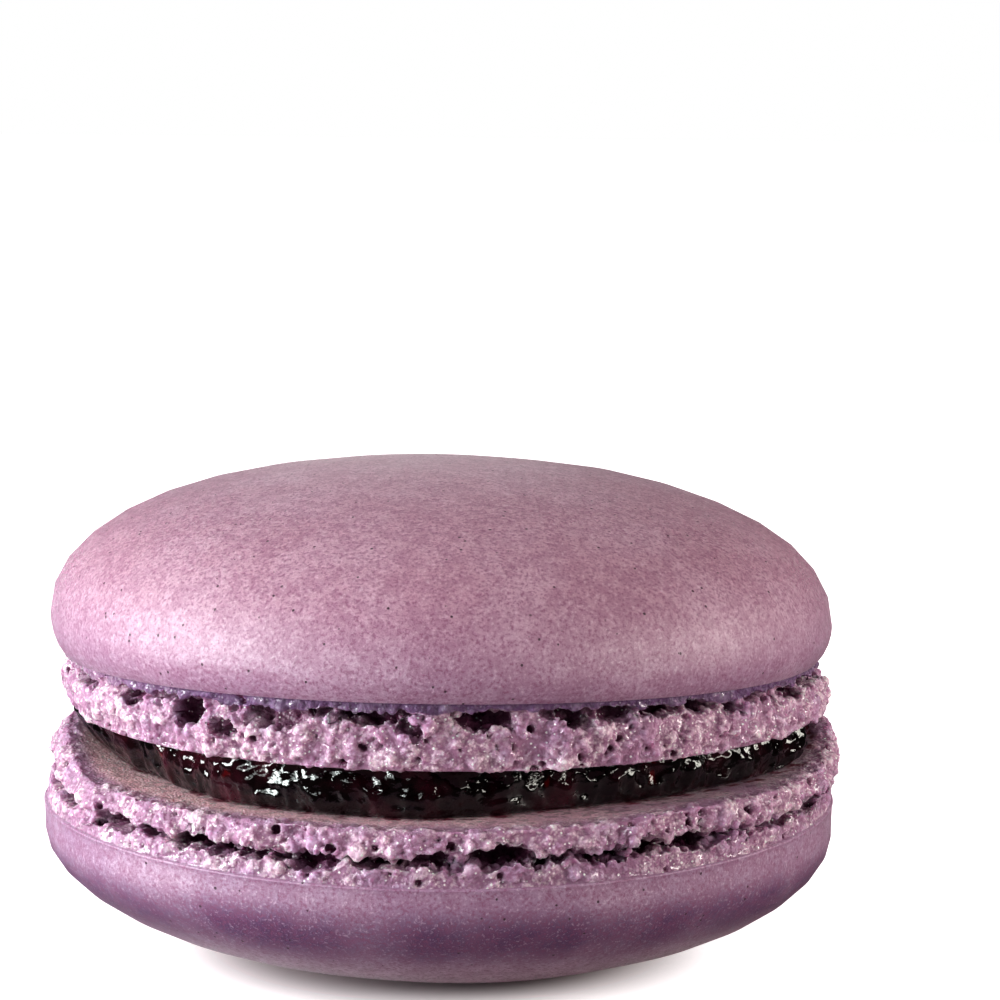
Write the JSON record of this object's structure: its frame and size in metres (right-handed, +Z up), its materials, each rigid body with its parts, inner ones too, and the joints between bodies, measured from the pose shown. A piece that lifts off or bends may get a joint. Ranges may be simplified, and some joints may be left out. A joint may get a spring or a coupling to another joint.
{
  "type": "french macaron",
  "caption": "Lavender almond macaron: two domed shells with ruffled, pitted feet and a disc of dark berry jam pressed between them.",
  "frame": {"origin": "on the surface that the macaron rests on, below the middle of its outline", "axes": "+Z up through both shells, +X to the right and +Y away from the camera in the picture's view"},
  "size_m": [0.0453, 0.0453, 0.0281],
  "materials": {
    "almond_shell": "Baked almond meringue, lavender to rosy lilac, satin-matte skin with fine specks, crumbly porous foot. Matte plastic stands in for it.",
    "berry_jam": "Set dark berry jam, almost black with deep red where it is thin, wet and glossy. Gloss plastic stands in for it."
  },
  "bodies": {
    "root": {"top_shell": "almond_shell", "jam_filling": "berry_jam", "bottom_shell": "almond_shell"}
  },
  "joints": []
}
